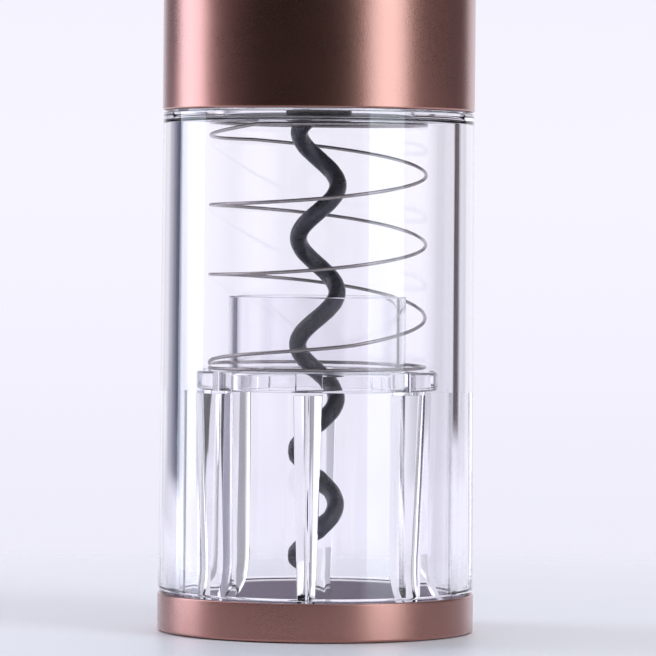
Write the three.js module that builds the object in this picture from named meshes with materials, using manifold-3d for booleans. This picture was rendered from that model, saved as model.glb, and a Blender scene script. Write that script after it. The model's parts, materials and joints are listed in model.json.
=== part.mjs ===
// A battery electric wine opener standing on its base ring, in millimetres with +Z up.
// The origin is the centre of the base ring's lower face, and the rocker switch faces -Y.
import * as THREE from "three";
import { mergeVertices } from "three/addons/utils/BufferGeometryUtils.js";
import Module from "manifold-3d";

const wasm = await Module();
wasm.setup();

// ---- Driving dimensions ----
const GAP = 0.3; // between pieces that touch

const BASE_RADIUS = 25;
const BASE_HEIGHT = 6;
const BASE_WALL = 0.9;
const BASE_FLOOR = 1;

const BARREL_INNER = 21.6;
const BARREL_LOW_RADIUS = 24.9;
const BARREL_TOP_RADIUS = 24.55;
const SPIGOT_TOP = 90;

const RIB_COUNT = 8;
const RIB_TURN = THREE.MathUtils.degToRad(-3.5);
const RIB_INNER = 16.8;
const RIB_TOP = 37.8;
const RIB_TOP_WIDTH = 4.1;
const RIB_FOOT_WIDTH = 2.4;
const RIB_LEAD_IN = 9;

const BODY_RADIUS = 24.65;
const BODY_WALL = 1.2;
const BODY_BOTTOM = 82;
const BODY_TOP = 214;
const BODY_INNER = BODY_RADIUS - BODY_WALL;
const OBJECT_TOP = 235;

const SLEEVE_RADIUS = 14;
const SLEEVE_BORE = 12.7;
const SLEEVE_TOP = 52.8;
const FLANGE_RADIUS = 19.15;
const FLANGE_THICKNESS = 3;
const FLANGE_BOTTOM = RIB_TOP + GAP;
const FLANGE_TOP = FLANGE_BOTTOM + FLANGE_THICKNESS;

const SHELF_BOTTOM = 80.6; // the barrel's inner shelf, which the spring pushes against
const SHELF_THICKNESS = 1.5;
const SHELF_RADIUS = 15.4;
const BULKHEAD_RIM_BOTTOM = SHELF_BOTTOM + SHELF_THICKNESS + GAP;
const BULKHEAD_TOP = BULKHEAD_RIM_BOTTOM + 2.2;
const BULKHEAD_LIP_TOP = SPIGOT_TOP - 0.1;

const SPRING_RADIUS = 17.05;
const SPRING_WIRE = 0.56;
const SPRING_END_TURNS = 1;
const SPRING_ACTIVE_TURNS = 3.16;
const SPRING_KICK = 3; // extra height that the wire gains as it leaves the flange
const SPRING_KICK_TURNS = 0.8;
const SPRING_LEAN_BACK = 1.6; // how far each active turn stands up at the back
const SPRING_LEAN_LEFT = 0.15;

const WORM_RADIUS = 3.1;
const WORM_WIRE = 2.75;
const WORM_PITCH = 16.8;
const WORM_START = 11.5; // the helix is at -X here
const WORM_EASE = 78.5; // the wire starts to turn in to the axis here
const WORM_CENTRED = 84.8;
const WORM_TOP = 87.7;
const WORM_TIP_LENGTH = 6.5;

const CHUCK_RADIUS = 5.2;
const CHUCK_NECK_RADIUS = 4.2;
const CHUCK_SHOULDER = 89;
const CHUCK_TOP = 92;
const SPINDLE_RADIUS = 2.5;
const SPINDLE_BOTTOM = 88.4;
const BUSH_RADIUS = 5;
const BUSH_BOTTOM = 92.7;
const BUSH_TOP = 97.1;
const RUNNING_GAP = 0.15; // between a shaft and its bore, on the radius

const GEAR_MODULE = 0.6;
const SUN_TEETH = 12;
const PLANET_TEETH = 18;
const RING_TEETH = 48;
const PRESSURE_ANGLE = THREE.MathUtils.degToRad(20);
const TOOTH_THINNING = 0.16;
const PLANET_COUNT = 3;
const PLANET_ORBIT = (GEAR_MODULE * (SUN_TEETH + PLANET_TEETH)) / 2;
const PIN_RADIUS = 1.45;
const CARRIER_RADIUS = 12.6;
const CARRIER_THICKNESS = 2.4;
const OUTPUT_STAGE = 98; // lower face of the output carrier
const INPUT_STAGE = 107.9; // lower face of the input carrier
const WHEEL_BOTTOM = 3.1; // each stage's planets, above its carrier's lower face
const WHEEL_TOP = 8.3;
const RING_GEAR_RADIUS = 17;
const RING_GEAR_BOTTOM = 97.5;
const RING_GEAR_TOP = 117.5;
const GEARBOX_COVER_TOP = 119.8;

const MOTOR_RADIUS = 12;
const MOTOR_BOTTOM = 120.1;
const MOTOR_TOP = 149.6;
const MOTOR_FACE = 1.2; // thickness of the can's lower end
const MOTOR_WALL = 0.8;
const SHAFT_RADIUS = 1;
const MOTOR_SCREW_ORBIT = 8;
const MOTOR_SCREW_RADIUS = 0.95;
const MAGNET_BOTTOM = 123.5;
const MAGNET_LENGTH = 19;
const MAGNET_THICKNESS = 2;
const CORE_RADIUS = 8.3;
const CORE_BOTTOM = 125;
const CORE_TOP = 141;
const COMMUTATOR_RADIUS = 3;
const COMMUTATOR_TOP = 146;
const END_CAP_BOTTOM = 148.2;
const END_CAP_TOP = 152;

const FRAME_RADIUS = 22.9;
const FRAME_WALL = 1.5;
const FRAME_BOTTOM = 93.6;
const FRAME_TOP = 155.5;
const FRAME_WEB = 2;
const GEARBOX_WEB_HEIGHT = 106;
const MOTOR_WEB_HEIGHTS = [128, 144];
const FAR = 300; // beyond any face of the opener

const CELL_RADIUS = 7.1;
const CELL_LENGTH = 50.3;
const CELL_SPACING = 7.55;
const CELL_BOTTOM = 156.8;
const HOLDER_RADIUS = 19.6;
const HOLDER_LENGTH = 44;
const HOLDER_FLAT = -16.9;

const ROCKER_HEIGHT = 166;
const ROCKER_PIVOT_Y = -23.6;
const ROCKER_BACK = -22.4;
const ROCKER_THICKNESS = 2.6;
const ROCKER_HOLLOW_FACE = -24.8; // the dished front at mid height
const ROCKER_HOLLOW_RADIUS = 400;
const ROCKER_WIDTH = 10.8;
const ROCKER_LENGTH = 30.4;
const ROCKER_CORNER = 2;
const BEZEL_WIDTH = 14;
const BEZEL_LENGTH = 35.6;
const BOARD_FRONT = -18.9;
const BOARD_THICKNESS = 1.2;
const BOARD_WIDTH = 18;
const BOARD_BOTTOM = 146;
const BOARD_TOP = 190;
const SWITCH_OFFSET = 10; // of each tact switch, above and below the rocker's middle

const SHELL_SEGMENTS = 40;
const SMALL_SEGMENTS = 24;

// ---- Finishes ----
const finish = (color, roughness, metalness) =>
  new THREE.MeshStandardMaterial({ color, roughness, metalness });
const clear = () =>
  new THREE.MeshStandardMaterial({
    color: 0xf2f0fa,
    roughness: 0.05,
    metalness: 0,
    transparent: true,
    opacity: 0.3,
  });
const bronze = () => finish(0x8f5c50, 0.32, 1);
const steel = () => finish(0xb8babd, 0.25, 1);
const brass = () => finish(0xb08d4c, 0.35, 1);
const blackCoat = () => finish(0x202226, 0.42, 0.1);
const darkPlastic = () => finish(0x2b2322, 0.5, 0);
const palePlastic = () => finish(0xd8d4c8, 0.55, 0);

// ---- Geometry helpers ----

// A closed mesh as a manifold-3d solid, with its faces pointing out.
function solidOf(geometry) {
  const bare = new THREE.BufferGeometry();
  bare.setAttribute("position", geometry.getAttribute("position"));
  bare.setIndex(geometry.index);
  const merged = mergeVertices(bare, 1e-4);
  const place = merged.getAttribute("position");
  const corner = (i) => new THREE.Vector3().fromBufferAttribute(place, i);
  let triangles = [];
  let volume = 0;
  for (let i = 0; i < merged.index.count; i += 3) {
    const [a, b, c] = [0, 1, 2].map((k) => merged.index.getX(i + k));
    if (a === b || b === c || c === a) continue;
    triangles.push([a, b, c]);
    volume += corner(a).dot(corner(b).cross(corner(c)));
  }
  if (volume < 0) triangles = triangles.map(([a, b, c]) => [a, c, b]);
  return new wasm.Manifold(
    new wasm.Mesh({
      numProp: 3,
      vertProperties: new Float32Array(place.array),
      triVerts: new Uint32Array(triangles.flat()),
    }),
  );
}

function geometryOf(solid) {
  const mesh = solid.getMesh();
  return new THREE.BufferGeometry()
    .setAttribute("position", new THREE.BufferAttribute(mesh.vertProperties, 3))
    .setIndex(new THREE.BufferAttribute(mesh.triVerts, 1));
}

const join = (first, ...others) =>
  geometryOf(others.reduce((made, next) => made.add(solidOf(next)), solidOf(first)));
const cut = (first, ...tools) =>
  geometryOf(tools.reduce((made, next) => made.subtract(solidOf(next)), solidOf(first)));
const common = (first, second) => geometryOf(solidOf(first).intersect(solidOf(second)));

// A turned piece about Z: outline is a list of [radius, height], closed on itself.
function turned(outline, segments = SHELL_SEGMENTS) {
  const points = outline.map(([radius, height]) => new THREE.Vector2(radius, height));
  points.push(points[0].clone());
  return new THREE.LatheGeometry(points, segments).rotateX(Math.PI / 2);
}

const ringOf = (outer, inner, bottom, top, segments = SHELL_SEGMENTS) =>
  turned([[inner, bottom], [outer, bottom], [outer, top], [inner, top]], segments);

const rodOf = (radius, bottom, top, segments = SMALL_SEGMENTS) =>
  new THREE.CylinderGeometry(radius, radius, top - bottom, segments)
    .rotateX(Math.PI / 2)
    .translate(0, 0, (top + bottom) / 2);

const prism = (shape, bottom, top) =>
  new THREE.ExtrudeGeometry(shape, { depth: top - bottom, bevelEnabled: false }).translate(0, 0, bottom);

// A block from its lowest to its highest corner.
const block = (low, high) =>
  new THREE.BoxGeometry(high[0] - low[0], high[1] - low[1], high[2] - low[2]).translate(
    (low[0] + high[0]) / 2,
    (low[1] + high[1]) / 2,
    (low[2] + high[2]) / 2,
  );

function polygon(radius, sides) {
  const corners = [];
  for (let i = 0; i < sides; i++) {
    const angle = (2 * Math.PI * i) / sides;
    corners.push(new THREE.Vector2(radius * Math.cos(angle), radius * Math.sin(angle)));
  }
  return new THREE.Shape(corners);
}

// A rounded rectangle about the origin.
function roundedRectangle(width, length, corner) {
  const shape = new THREE.Shape();
  const x = width / 2;
  const y = length / 2;
  shape.moveTo(-x + corner, -y);
  shape.lineTo(x - corner, -y);
  shape.absarc(x - corner, -y + corner, corner, -Math.PI / 2, 0);
  shape.absarc(x - corner, y - corner, corner, 0, Math.PI / 2);
  shape.absarc(-x + corner, y - corner, corner, Math.PI / 2, Math.PI);
  shape.absarc(-x + corner, -y + corner, corner, Math.PI, 1.5 * Math.PI);
  return shape;
}

// A curve given by a function of 0 to 1.
class Path extends THREE.Curve {
  constructor(pointAt) {
    super();
    this.pointAt = pointAt;
    this.arcLengthDivisions = 800;
  }
  getPoint(t) {
    return this.pointAt(t);
  }
}

const wireAlong = (path, radius, steps, sides) =>
  new THREE.ExtrudeGeometry(polygon(radius, sides), { steps, extrudePath: path, bevelEnabled: false });

const around = (count, make) =>
  Array.from({ length: count }, (_, i) => make((2 * Math.PI * i) / count, i));

const opener = new THREE.Group();

function addPiece(name, geometry, material, parent = opener) {
  const mesh = new THREE.Mesh(geometryOf(solidOf(geometry)), material);
  mesh.name = name;
  parent.add(mesh);
  return mesh;
}

// ---- Base ring: a bronze trim pressed over the foot of the clear barrel ----
function baseRing() {
  const edge = 0.4;
  return turned([
    [BARREL_INNER + 0.2, 0],
    [BASE_RADIUS - edge, 0],
    [BASE_RADIUS, edge],
    [BASE_RADIUS, BASE_HEIGHT - edge / 2],
    [BASE_RADIUS - edge / 2, BASE_HEIGHT],
    [BASE_RADIUS - BASE_WALL, BASE_HEIGHT],
    [BASE_RADIUS - BASE_WALL, BASE_FLOOR],
    [BARREL_INNER + 0.2, BASE_FLOOR],
  ]);
}

// ---- Clear barrel: a moulded tube with ribs that centre the bottle's neck, and a shelf for the spring ----
function barrelRib() {
  const foot = BASE_FLOOR + GAP + 2;
  const root = BARREL_INNER + 1;
  const slabDepth = 8;
  const side = new THREE.Shape();
  side.moveTo(root, foot);
  side.quadraticCurveTo(RIB_INNER, foot + 1, RIB_INNER, foot + RIB_LEAD_IN);
  side.lineTo(RIB_INNER, RIB_TOP);
  side.lineTo(root, RIB_TOP);
  side.closePath();
  const slab = new THREE.ExtrudeGeometry(side, { depth: slabDepth, bevelEnabled: false, curveSegments: 4 })
    .translate(0, 0, -slabDepth / 2)
    .rotateX(Math.PI / 2);
  const front = new THREE.Shape([
    new THREE.Vector2(-RIB_FOOT_WIDTH / 2, foot - 1),
    new THREE.Vector2(RIB_FOOT_WIDTH / 2, foot - 1),
    new THREE.Vector2(RIB_TOP_WIDTH / 2, RIB_TOP + 1),
    new THREE.Vector2(-RIB_TOP_WIDTH / 2, RIB_TOP + 1),
  ]);
  const wedge = new THREE.ExtrudeGeometry(front, { depth: BASE_RADIUS, bevelEnabled: false })
    .rotateX(Math.PI / 2)
    .rotateZ(Math.PI / 2);
  return common(slab, wedge);
}

function clearBarrel() {
  const spigotLow = BASE_RADIUS - BASE_WALL - GAP;
  const spigotHigh = BODY_INNER - GAP;
  const wall = turned([
    [BARREL_INNER, BASE_FLOOR + GAP],
    [spigotLow, BASE_FLOOR + GAP],
    [spigotLow, BASE_HEIGHT + GAP],
    [BARREL_LOW_RADIUS, BASE_HEIGHT + GAP],
    [BARREL_TOP_RADIUS, BODY_BOTTOM - GAP],
    [spigotHigh, BODY_BOTTOM - GAP],
    [spigotHigh, SPIGOT_TOP],
    [BARREL_INNER, SPIGOT_TOP],
    [BARREL_INNER, SHELF_BOTTOM + SHELF_THICKNESS],
    [SHELF_RADIUS, SHELF_BOTTOM + SHELF_THICKNESS],
    [SHELF_RADIUS, SHELF_BOTTOM],
    [BARREL_INNER, SHELF_BOTTOM],
  ]);
  const ribs = around(RIB_COUNT, (angle) => barrelRib().rotateZ(angle + RIB_TURN));
  return join(wall, ...ribs);
}

// ---- Cork sleeve: slides up the barrel on the bottle's mouth ----
function corkSleeve() {
  const wall = turned([
    [SLEEVE_BORE, FLANGE_BOTTOM],
    [FLANGE_RADIUS, FLANGE_BOTTOM],
    [FLANGE_RADIUS, FLANGE_TOP],
    [SLEEVE_RADIUS, FLANGE_TOP],
    [SLEEVE_RADIUS, SLEEVE_TOP],
    [SLEEVE_BORE, SLEEVE_TOP],
  ]);
  const notchDepth = 1.2;
  const notches = around(RIB_COUNT, (angle) =>
    block(
      [FLANGE_RADIUS - notchDepth, -RIB_TOP_WIDTH / 2, FLANGE_BOTTOM - 1],
      [FLANGE_RADIUS + 1, RIB_TOP_WIDTH / 2, FLANGE_TOP + 1],
    ).rotateZ(angle + RIB_TURN),
  );
  return cut(wall, ...notches);
}

// ---- Return spring: closed end coils, and leaning active turns that leave the flange steeply ----
function returnSpring() {
  const low = FLANGE_TOP + GAP + SPRING_WIRE / 2;
  const high = SHELF_BOTTOM - GAP - SPRING_WIRE / 2;
  const endRise = SPRING_WIRE * 1.1;
  const turns = SPRING_ACTIVE_TURNS + 2 * SPRING_END_TURNS;
  const leanStart = 0.3; // turns over which the lean grows and fades
  const heightAt = (turn) => {
    if (turn < SPRING_END_TURNS) return low + (endRise * turn) / SPRING_END_TURNS;
    const active = turn - SPRING_END_TURNS;
    const pitch = (high - low - 2 * endRise - SPRING_KICK) / SPRING_ACTIVE_TURNS;
    const kick = SPRING_KICK * Math.sin((Math.PI / 2) * Math.min(1, active / SPRING_KICK_TURNS));
    if (active < SPRING_ACTIVE_TURNS) return low + endRise + pitch * active + kick;
    return high - endRise + (endRise * (active - SPRING_ACTIVE_TURNS)) / SPRING_END_TURNS;
  };
  const leanAt = (turn, angle) => {
    const fromEnd = Math.min(turn, turns - turn) - SPRING_END_TURNS;
    const share = THREE.MathUtils.clamp(fromEnd / leanStart, 0, 1);
    return share * (SPRING_LEAN_BACK * Math.sin(angle) - SPRING_LEAN_LEFT * Math.cos(angle));
  };
  const path = new Path((t) => {
    const turn = t * turns;
    const angle = 2 * Math.PI * (turn - SPRING_END_TURNS) + Math.PI;
    return new THREE.Vector3(
      SPRING_RADIUS * Math.cos(angle),
      SPRING_RADIUS * Math.sin(angle),
      heightAt(turn) + leanAt(turn, angle),
    );
  });
  return wireAlong(path, SPRING_WIRE / 2, 84, 5);
}

// ---- Worm: a right-handed helix of coated wire that turns in to a shank on the axis ----
function wormPoint(height) {
  const ease = THREE.MathUtils.smoothstep(height, WORM_EASE, WORM_CENTRED);
  const radius = WORM_RADIUS * (1 - ease);
  const angle = Math.PI + (2 * Math.PI * (height - WORM_START)) / WORM_PITCH;
  return new THREE.Vector3(radius * Math.cos(angle), radius * Math.sin(angle), height);
}

function worm() {
  const helix = new Path((t) => wormPoint(THREE.MathUtils.lerp(WORM_START, WORM_TOP, t)));
  const wire = wireAlong(helix, WORM_WIRE / 2, 68, 8);
  const back = helix.getTangent(0).negate();
  const tip = new THREE.ConeGeometry(WORM_WIRE / 2, WORM_TIP_LENGTH, 8)
    .translate(0, WORM_TIP_LENGTH / 2 - 0.2, 0)
    .applyQuaternion(new THREE.Quaternion().setFromUnitVectors(new THREE.Vector3(0, 1, 0), back))
    .translate(...wormPoint(WORM_START).toArray());
  return join(wire, tip);
}

// ---- Chuck, spindle and bush that carry the worm ----
function wormChuck() {
  const mouth = 4.3;
  const shankBore = 1.6;
  const bottom = SHELF_BOTTOM - GAP;
  const socket = SPINDLE_RADIUS + RUNNING_GAP;
  const socketFloor = SPINDLE_BOTTOM - GAP;
  return turned(
    [
      [mouth, bottom],
      [CHUCK_RADIUS, bottom],
      [CHUCK_RADIUS, CHUCK_SHOULDER],
      [CHUCK_NECK_RADIUS, CHUCK_SHOULDER],
      [CHUCK_NECK_RADIUS, CHUCK_TOP],
      [socket, CHUCK_TOP],
      [socket, socketFloor],
      [shankBore, socketFloor],
      [shankBore, WORM_CENTRED - GAP],
    ],
    SMALL_SEGMENTS,
  );
}

const outputSpindle = () => rodOf(SPINDLE_RADIUS, SPINDLE_BOTTOM, OUTPUT_STAGE + CARRIER_THICKNESS);
const spindleBush = () =>
  ringOf(BUSH_RADIUS, SPINDLE_RADIUS + RUNNING_GAP, BUSH_BOTTOM, BUSH_TOP, SMALL_SEGMENTS);

// ---- Bulkhead: drops on to the barrel's shelf, with bosses for the gearbox screws ----
const SCREW_ORBIT = 14;
const SCREW_TURN = Math.PI / 2;
const SCREW_RADIUS = 1;
const SCREW_HEAD_RADIUS = 2;
const SCREW_CLEARANCE = 0.3;
const SCREW_BOTTOM = BULKHEAD_TOP + 1.1;
const GEARBOX_PLATE_TOP = 93.3;
const onScrewOrbit = (geometry, angle) =>
  geometry.translate(SCREW_ORBIT, 0, 0).rotateZ(angle + SCREW_TURN);

function bulkhead() {
  const hole = CHUCK_RADIUS + 0.4;
  const hubBottom = SHELF_BOTTOM + 1;
  const lipRadius = hole + 2.2;
  const bossRadius = 2.5;
  const plate = turned([
    [hole, hubBottom],
    [SHELF_RADIUS - GAP, hubBottom],
    [SHELF_RADIUS - GAP, BULKHEAD_RIM_BOTTOM],
    [BARREL_INNER - GAP, BULKHEAD_RIM_BOTTOM],
    [BARREL_INNER - GAP, BULKHEAD_TOP],
    [lipRadius, BULKHEAD_TOP],
    [lipRadius, BULKHEAD_LIP_TOP],
    [hole, BULKHEAD_LIP_TOP],
  ]);
  const bosses = around(3, (angle) =>
    onScrewOrbit(rodOf(bossRadius, BULKHEAD_TOP - 0.5, BULKHEAD_LIP_TOP, 12), angle),
  );
  const bores = around(3, (angle) =>
    onScrewOrbit(rodOf(SCREW_RADIUS + SCREW_CLEARANCE, SCREW_BOTTOM - GAP, SPIGOT_TOP + 1, 12), angle),
  );
  return cut(join(plate, ...bosses), ...bores);
}

function gearboxScrew(angle) {
  const headBottom = GEARBOX_PLATE_TOP + GAP;
  const shank = rodOf(SCREW_RADIUS, SCREW_BOTTOM, headBottom + 0.2, 12);
  const head = rodOf(SCREW_HEAD_RADIUS, headBottom, headBottom + 1.4, 12);
  return onScrewOrbit(join(shank, head), angle);
}

// ---- Gearbox: a base, a toothed ring, two planet stages and a cover ----
function gearboxBase() {
  const bottom = SPIGOT_TOP + GAP;
  const collarRadius = 8;
  const collarTop = BUSH_TOP - 0.1;
  const bushBore = BUSH_RADIUS + RUNNING_GAP;
  const bushSeat = BUSH_BOTTOM - GAP;
  const neckBore = CHUCK_NECK_RADIUS + 0.6;
  const plate = turned([
    [neckBore, bottom],
    [BODY_INNER - GAP, bottom],
    [BODY_INNER - GAP, GEARBOX_PLATE_TOP],
    [collarRadius, GEARBOX_PLATE_TOP],
    [collarRadius, collarTop],
    [bushBore, collarTop],
    [bushBore, bushSeat],
    [neckBore, bushSeat],
  ]);
  const holes = around(3, (angle) =>
    onScrewOrbit(rodOf(SCREW_RADIUS + SCREW_CLEARANCE, bottom - 1, GEARBOX_PLATE_TOP + 1, 12), angle),
  );
  return cut(plate, ...holes);
}

// An involute outline: half a tooth's angle at each radius, walked up one flank and down the other.
function toothedOutline(teeth, radii, thinning) {
  const pitchRadius = (GEAR_MODULE * teeth) / 2;
  const baseRadius = pitchRadius * Math.cos(PRESSURE_ANGLE);
  const involute = (angle) => Math.tan(angle) - angle;
  const halfAngle = (radius) => {
    const pressure = Math.acos(Math.min(1, baseRadius / radius));
    const atPitch = Math.PI / (2 * teeth) - thinning / (2 * pitchRadius);
    return atPitch + involute(PRESSURE_ANGLE) - involute(pressure);
  };
  const corners = [];
  const addCorner = (radius, angle) =>
    corners.push(new THREE.Vector2(radius * Math.cos(angle), radius * Math.sin(angle)));
  around(teeth, (middle) => {
    radii.forEach((radius) => addCorner(radius, middle - halfAngle(radius)));
    [...radii].reverse().forEach((radius) => addCorner(radius, middle + halfAngle(radius)));
  });
  return corners;
}

function gearWheel(teeth, bottom, top, bore) {
  const pitchRadius = (GEAR_MODULE * teeth) / 2;
  const radii = [pitchRadius - 1.2 * GEAR_MODULE, pitchRadius + 0.8 * GEAR_MODULE];
  const shape = new THREE.Shape(toothedOutline(teeth, radii, TOOTH_THINNING));
  if (bore) shape.holes.push(new THREE.Path(polygon(bore, 12).getPoints()));
  return prism(shape, bottom, top);
}

function ringGear() {
  const pitchRadius = (GEAR_MODULE * RING_TEETH) / 2;
  const radii = [pitchRadius - 0.8 * GEAR_MODULE, pitchRadius + 1.2 * GEAR_MODULE];
  const shape = polygon(RING_GEAR_RADIUS, SHELL_SEGMENTS);
  shape.holes.push(new THREE.Path(toothedOutline(RING_TEETH, radii, -TOOTH_THINNING)));
  return prism(shape, RING_GEAR_BOTTOM, RING_GEAR_TOP);
}

const onOrbit = (geometry, angle) => geometry.translate(PLANET_ORBIT, 0, 0).rotateZ(angle);

function carrierDisc(bottom, bore) {
  const disc = bore
    ? ringOf(CARRIER_RADIUS, bore, bottom, bottom + CARRIER_THICKNESS, SMALL_SEGMENTS)
    : rodOf(CARRIER_RADIUS, bottom, bottom + CARRIER_THICKNESS);
  const holes = around(PLANET_COUNT, (angle) =>
    onOrbit(rodOf(PIN_RADIUS + RUNNING_GAP, bottom - 1, bottom + CARRIER_THICKNESS + 1, 12), angle),
  );
  return cut(disc, ...holes);
}

const outputCarrier = () => carrierDisc(OUTPUT_STAGE, SPINDLE_RADIUS + RUNNING_GAP);

// The input carrier's own sun wheel hangs below it and drives the output planets.
function inputCarrier() {
  const halfTooth = Math.PI / SUN_TEETH;
  const sun = gearWheel(SUN_TEETH, OUTPUT_STAGE + WHEEL_BOTTOM, INPUT_STAGE + 0.5).rotateZ(halfTooth);
  return join(carrierDisc(INPUT_STAGE), sun);
}

const planetPin = (stage, angle) =>
  onOrbit(rodOf(PIN_RADIUS, stage + 0.2, stage + WHEEL_TOP + 0.5, 12), angle);

function gearboxCover() {
  const pinionSpace = 4.6;
  const bottom = RING_GEAR_TOP + GAP;
  const disc = ringOf(RING_GEAR_RADIUS, pinionSpace, bottom, GEARBOX_COVER_TOP);
  const holes = [-1, 1].map((side) =>
    rodOf(MOTOR_SCREW_RADIUS + GAP, bottom - 1, GEARBOX_COVER_TOP + 1, 12)
      .translate(side * MOTOR_SCREW_ORBIT, 0, 0),
  );
  return cut(disc, ...holes);
}

// ---- Motor ----
const motorPinion = () =>
  gearWheel(SUN_TEETH, INPUT_STAGE + WHEEL_BOTTOM, INPUT_STAGE + WHEEL_TOP, SHAFT_RADIUS + RUNNING_GAP)
    .rotateZ(Math.PI / SUN_TEETH);

function motorCan() {
  const face = MOTOR_BOTTOM + MOTOR_FACE;
  const shaftHole = 3;
  const can = turned([
    [shaftHole, MOTOR_BOTTOM],
    [MOTOR_RADIUS, MOTOR_BOTTOM],
    [MOTOR_RADIUS, MOTOR_TOP],
    [MOTOR_RADIUS - MOTOR_WALL, MOTOR_TOP],
    [MOTOR_RADIUS - MOTOR_WALL, face],
    [shaftHole, face],
  ], 32);
  const holes = [-1, 1].map((side) =>
    rodOf(MOTOR_SCREW_RADIUS + RUNNING_GAP, MOTOR_BOTTOM - 1, face + 1, 12)
      .translate(side * MOTOR_SCREW_ORBIT, 0, 0),
  );
  return cut(can, ...holes);
}

function motorRotor() {
  const slots = 5;
  const slotFloor = 4;
  const slotHalfWidth = 0.7;
  const shaft = rodOf(SHAFT_RADIUS, INPUT_STAGE + WHEEL_BOTTOM, MOTOR_TOP + 1.4, 16);
  const commutator = rodOf(COMMUTATOR_RADIUS, CORE_TOP - 0.5, COMMUTATOR_TOP, 16);
  const core = rodOf(CORE_RADIUS, CORE_BOTTOM, CORE_TOP, 30);
  const slotCuts = around(slots, (angle) =>
    block(
      [slotFloor, -slotHalfWidth, CORE_BOTTOM - 1],
      [CORE_RADIUS + 1, slotHalfWidth, CORE_TOP + 1],
    ).rotateZ(angle),
  );
  return join(cut(core, ...slotCuts), shaft, commutator);
}

function motorMagnet(middle) {
  const shape = new THREE.Shape();
  const half = Math.PI / 3;
  const outer = MOTOR_RADIUS - MOTOR_WALL - GAP;
  shape.absarc(0, 0, outer, middle - half, middle + half);
  shape.absarc(0, 0, outer - MAGNET_THICKNESS, middle + half, middle - half, true);
  return new THREE.ExtrudeGeometry(shape, { depth: MAGNET_LENGTH, bevelEnabled: false, curveSegments: 6 })
    .translate(0, 0, MAGNET_BOTTOM);
}

function motorEndCap() {
  const shaftHole = SHAFT_RADIUS + 0.4;
  const spigot = MOTOR_RADIUS - MOTOR_WALL - GAP;
  return turned([
    [shaftHole, END_CAP_BOTTOM],
    [spigot, END_CAP_BOTTOM],
    [spigot, MOTOR_TOP + GAP],
    [MOTOR_RADIUS, MOTOR_TOP + GAP],
    [MOTOR_RADIUS, END_CAP_TOP],
    [shaftHole, END_CAP_TOP],
  ], 32);
}

function motorScrew(side) {
  const headRadius = 2;
  const head = rodOf(headRadius, RING_GEAR_TOP - 0.5, RING_GEAR_TOP + 0.1, 12);
  const shank = rodOf(MOTOR_SCREW_RADIUS, RING_GEAR_TOP, MOTOR_BOTTOM + MOTOR_FACE + 1.4, 12);
  return join(head, shank).translate(side * MOTOR_SCREW_ORBIT, 0, 0);
}

// ---- Inner frame: two half shells with webs that clamp the gearbox and the motor ----
function frameHalf(side) {
  const inner = FRAME_RADIUS - FRAME_WALL;
  const wireHole = 4;
  const web = (bore, bottom) => ringOf(inner + 0.5, bore, bottom, bottom + FRAME_WEB);
  const shell = ringOf(FRAME_RADIUS, inner, FRAME_BOTTOM, FRAME_TOP);
  const gearboxWeb = web(RING_GEAR_RADIUS + GAP, GEARBOX_WEB_HEIGHT);
  const motorWebs = MOTOR_WEB_HEIGHTS.map((height) => web(MOTOR_RADIUS + GAP, height));
  const cellShelf = web(wireHole, FRAME_TOP - FRAME_WEB);
  const whole = join(shell, gearboxWeb, ...motorWebs, cellShelf);
  const keep = side < 0
    ? block([-FAR, -FAR, 0], [-GAP / 2, FAR, FAR])
    : block([GAP / 2, -FAR, 0], [FAR, FAR, FAR]);
  const windowHalf = BOARD_WIDTH / 2 + 0.6;
  const boardWindow = block([-windowHalf, -FAR, BOARD_BOTTOM - 4], [windowHalf, -10, FAR]);
  return cut(common(whole, keep), boardWindow);
}

// ---- Electronics behind the rocker ----
const circuitBoard = () =>
  block(
    [-BOARD_WIDTH / 2, BOARD_FRONT, BOARD_BOTTOM],
    [BOARD_WIDTH / 2, BOARD_FRONT + BOARD_THICKNESS, BOARD_TOP],
  );

function tactSwitch(height) {
  const half = 3;
  const front = BOARD_FRONT - 2;
  const plungerRadius = 1.6;
  const body = block([-half, front, height - half], [half, BOARD_FRONT - GAP, height + half]);
  const plunger = new THREE.CylinderGeometry(plungerRadius, plungerRadius, 1, 12).translate(0, front - 0.1, height);
  return join(body, plunger);
}

function motorWire(side) {
  const radius = 0.5;
  const overCap = END_CAP_TOP + radius + 0.4;
  const route = new THREE.CatmullRomCurve3([
    new THREE.Vector3(side * 5, -2, overCap),
    new THREE.Vector3(side * 6, -8, overCap),
    new THREE.Vector3(side * 5, -14, overCap - 1.4),
    new THREE.Vector3(side * 4, BOARD_FRONT + BOARD_THICKNESS + 0.4, BOARD_BOTTOM + 4),
  ]);
  return wireAlong(route, radius, 8, 6);
}

// ---- Rocker switch ----
function standing(geometry, front) {
  return geometry.rotateX(Math.PI / 2).translate(0, front, ROCKER_HEIGHT);
}

const PIN_HALF_LENGTH = 6.3;
const PIVOT_RADIUS = 0.6;
const PIVOT_BORE = PIVOT_RADIUS + RUNNING_GAP;

const pivotRod = (radius, halfLength) =>
  new THREE.CylinderGeometry(radius, radius, 2 * halfLength, 12)
    .rotateZ(Math.PI / 2)
    .translate(0, ROCKER_PIVOT_Y, ROCKER_HEIGHT);

function rockerBezel() {
  const shape = roundedRectangle(BEZEL_WIDTH, BEZEL_LENGTH, ROCKER_CORNER + 1);
  const opening = roundedRectangle(ROCKER_WIDTH + 0.8, ROCKER_LENGTH + 1, ROCKER_CORNER + 0.2);
  shape.holes.push(new THREE.Path(opening.getPoints(3)));
  const frame = new THREE.ExtrudeGeometry(shape, { depth: ROCKER_THICKNESS, bevelEnabled: false, curveSegments: 3 });
  return cut(standing(frame, ROCKER_BACK + 0.05), pivotRod(PIVOT_BORE, PIN_HALF_LENGTH + GAP));
}

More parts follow.
